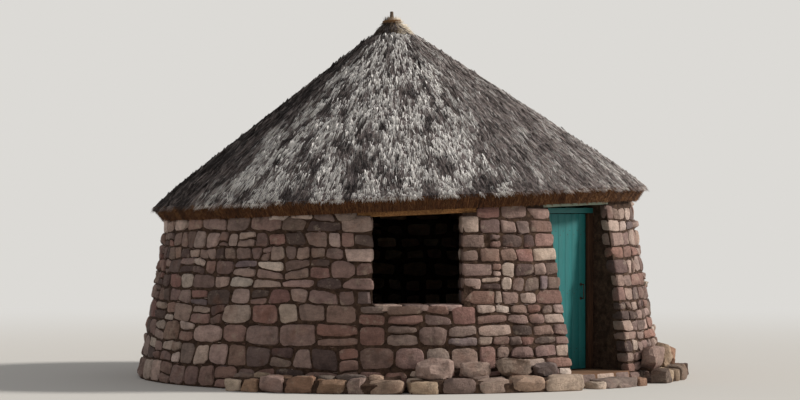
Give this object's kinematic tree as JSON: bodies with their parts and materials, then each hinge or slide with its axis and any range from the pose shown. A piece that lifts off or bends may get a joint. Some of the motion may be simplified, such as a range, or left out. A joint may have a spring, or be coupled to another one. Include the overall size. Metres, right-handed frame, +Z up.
{
  "type": "rondavel hut",
  "caption": "Round rubble-stone rondavel with a conical thatched roof, a window hole and a painted board door that opens inwards.",
  "frame": {"origin": "centre of the round wall at the ground", "axes": "+Z up; the door faces -Y"},
  "size_m": [6.4722, 6.4741, 4.3245],
  "materials": {
    "wall_stone": "coursed rubble sandstone in mud mortar, dry and matt",
    "footing_stone": "rough field stone, weathered",
    "earth": "rammed earth, smooth and matt",
    "thatch": "weathered grass thatch, shaggy",
    "new_straw": "bleached straw",
    "binding": "twisted grass rope",
    "iron": "wrought iron, dulled",
    "door_paint": "boards with worn teal paint",
    "lintel_paint": "timber with pale grey-green paint",
    "frame_timber": "sawn timber, darkened",
    "pole_timber": "peeled poles, smoked brown"
  },
  "bodies": {
    "root": {"wall_front_pier": "wall_stone", "wall_below_window": "wall_stone", "wall_left_front": "wall_stone", "wall_left": "wall_stone", "wall_left_back": "wall_stone", "wall_back_left": "wall_stone", "wall_back": "wall_stone", "wall_back_right": "wall_stone", "wall_right_back": "wall_stone", "wall_right": "wall_stone", "wall_right_front": "wall_stone", "wall_front_right": "wall_stone", "earth_floor": "earth", "door_sill": "footing_stone", "door_step": "footing_stone", "footing_left": "footing_stone", "footing_front": "footing_stone", "footing_right": "footing_stone", "footing_boulders": "footing_stone", "window_lintel": "frame_timber", "door_lintel": "lintel_paint", "door_hinge_post": "frame_timber", "door_latch_post": "frame_timber", "door_head": "frame_timber", "hinge_pins": "iron", "wall_plate": "pole_timber", "main_rafters": "pole_timber", "rafters_front_left": "pole_timber", "rafters_front_right": "pole_timber", "rafters_back_right": "pole_timber", "rafters_back_left": "pole_timber", "ring_battens": "pole_timber", "thatch_eave": "thatch", "thatch_lower": "thatch", "thatch_middle": "thatch", "thatch_upper": "thatch", "thatch_crown": "thatch", "topknot": "new_straw", "topknot_binding": "binding", "finial_pole": "pole_timber"},
    "door": {"door_boards": "door_paint", "door_ledges": "door_paint", "door_braces": "door_paint", "hinge_straps": "iron", "door_pull": "iron"}
  },
  "joints": [
    {"name": "door_swing", "type": "hinge", "parent": "root", "child": "door", "pos_m": [-0.44145, -2.3982, 0.9], "axis": [0, 0, 1], "range_deg": [0, 100]}
  ]
}
